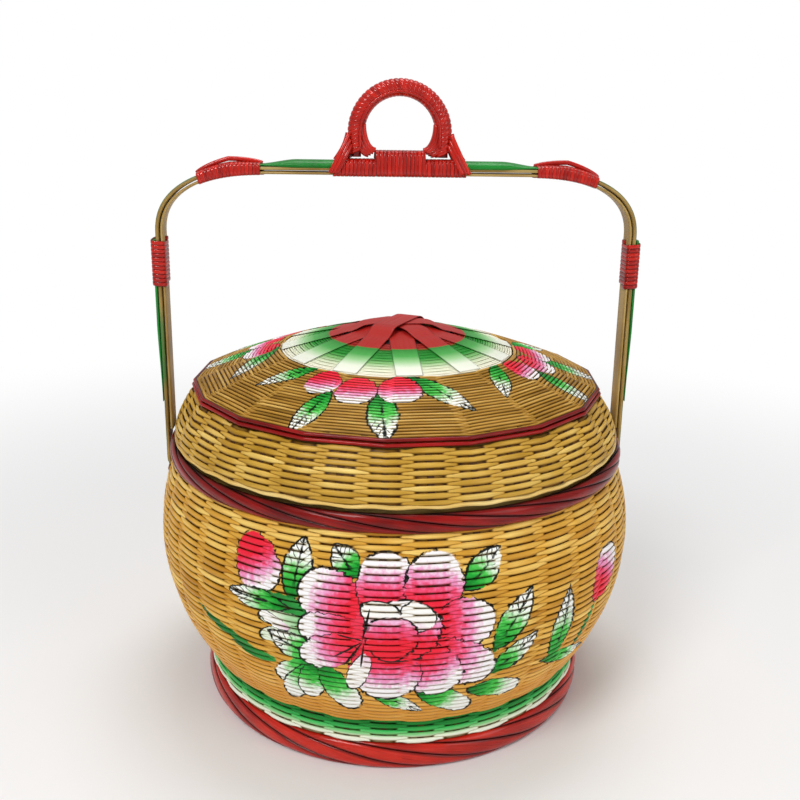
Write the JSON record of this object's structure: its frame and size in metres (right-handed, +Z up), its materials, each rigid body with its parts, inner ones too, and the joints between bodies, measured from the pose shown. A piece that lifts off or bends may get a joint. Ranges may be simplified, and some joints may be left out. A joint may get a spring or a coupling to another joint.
{
  "type": "lidded bamboo food basket",
  "caption": "Round woven bamboo food basket on a foot ring, with a domed lift-off lid, a fixed bow handle and a wound grip ring.",
  "frame": {"origin": "middle of the foot ring, on the ground", "axes": "+Z up; the handle spans the X axis; the painted front faces -Y"},
  "size_m": [0.3078, 0.3064, 0.3899],
  "materials": {
    "straw_weave": "satin split bamboo",
    "red_plait": "glossy red lacquer",
    "painted_weave": "satin green and white paint",
    "painted_splint": "satin red, green and white paint",
    "bare_bamboo": "bare split bamboo",
    "green_bamboo": "glossy green paint",
    "red_winding": "glossy red cane"
  },
  "bodies": {
    "basket": {"foot_plait": "red_plait", "foot_skirt": "painted_weave", "foot_inner_hoop": "bare_bamboo", "floor_slat_upper": "bare_bamboo", "floor_slat_lower": "bare_bamboo", "bowl_floor": "straw_weave", "bowl_wall": "straw_weave", "rim_plait": "red_plait", "rim_inner_hoop": "bare_bamboo", "handle_outer_strip": "bare_bamboo", "handle_inner_strip": "bare_bamboo", "bar_cap_strip": "green_bamboo", "left_arm_cap_strip": "green_bamboo", "right_arm_cap_strip": "green_bamboo", "left_arm_winding": "red_winding", "right_arm_winding": "red_winding", "left_shoulder_winding": "red_winding", "right_shoulder_winding": "red_winding", "left_shoulder_strand": "red_winding", "right_shoulder_strand": "red_winding", "left_saddle_winding": "red_winding", "right_saddle_winding": "red_winding", "ring_pad": "bare_bamboo", "ring_lashing": "red_winding", "grip_ring_core": "bare_bamboo", "grip_ring_winding": "red_winding", "left_flank_strand": "red_winding", "right_flank_strand": "red_winding"},
    "lid": {"lid_edge_hoop": "straw_weave", "lid_side_weave": "straw_weave", "lid_shoulder_strand_lower": "red_plait", "lid_shoulder_strand_upper": "red_plait", "lid_inner_hoop": "bare_bamboo", "dome_weave": "straw_weave", "crown_weave": "painted_weave", "crown_splint_1": "painted_splint", "crown_splint_2": "painted_splint", "crown_splint_3": "painted_splint", "crown_splint_4": "painted_splint", "crown_splint_5": "painted_splint", "crown_splint_6": "painted_splint"}
  },
  "joints": [
    {"name": "lid_lift", "type": "slide", "parent": "basket", "child": "lid", "axis": [0, 0, 1], "range_m": [0, 0.085]}
  ]
}
